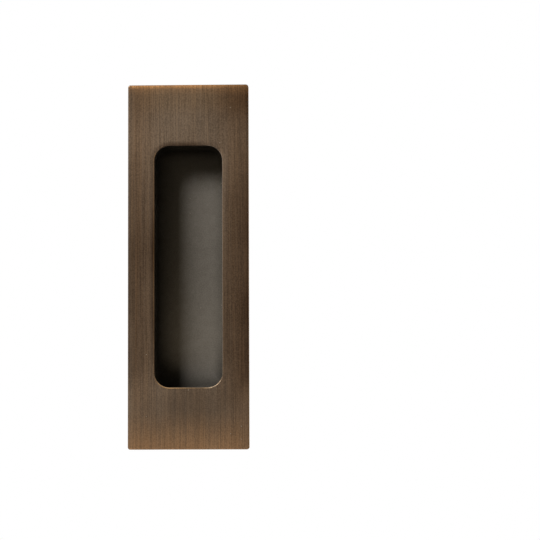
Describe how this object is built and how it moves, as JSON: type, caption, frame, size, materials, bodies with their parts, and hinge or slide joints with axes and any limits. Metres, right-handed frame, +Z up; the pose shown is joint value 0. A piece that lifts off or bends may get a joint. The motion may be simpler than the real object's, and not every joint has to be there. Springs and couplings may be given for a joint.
{
  "type": "sliding door flush pull",
  "caption": "Upright rectangular flush pull for a sliding door: brushed aged brass cover plate held by magnets over a dark cast cup that screws into a mortise",
  "frame": {"origin": "The middle of the four-screw pattern, on the surface of the door that the handle is let into; it is also the middle of the plate seen from the front.", "axes": "Upright as fitted: +Z up along the plate's length, +X to the right seen from the room, +Y into the door and -Y out to the room."},
  "size_m": [0.05, 0.0174, 0.151],
  "materials": {
    "aged_brass": "satin",
    "cup_coating": "matte",
    "screw_steel": "satin",
    "magnet_nickel": "gloss",
    "keeper_steel": "satin"
  },
  "bodies": {
    "root": {"face_plate": "aged_brass", "cup": "cup_coating", "screw_upper_left": "screw_steel", "screw_upper_right": "screw_steel", "screw_lower_left": "screw_steel", "screw_lower_right": "screw_steel", "magnet_upper_left": "magnet_nickel", "magnet_upper_right": "magnet_nickel", "magnet_lower_left": "magnet_nickel", "magnet_lower_right": "magnet_nickel", "keeper_upper_left": "keeper_steel", "keeper_upper_right": "keeper_steel", "keeper_lower_left": "keeper_steel", "keeper_lower_right": "keeper_steel"}
  },
  "joints": []
}
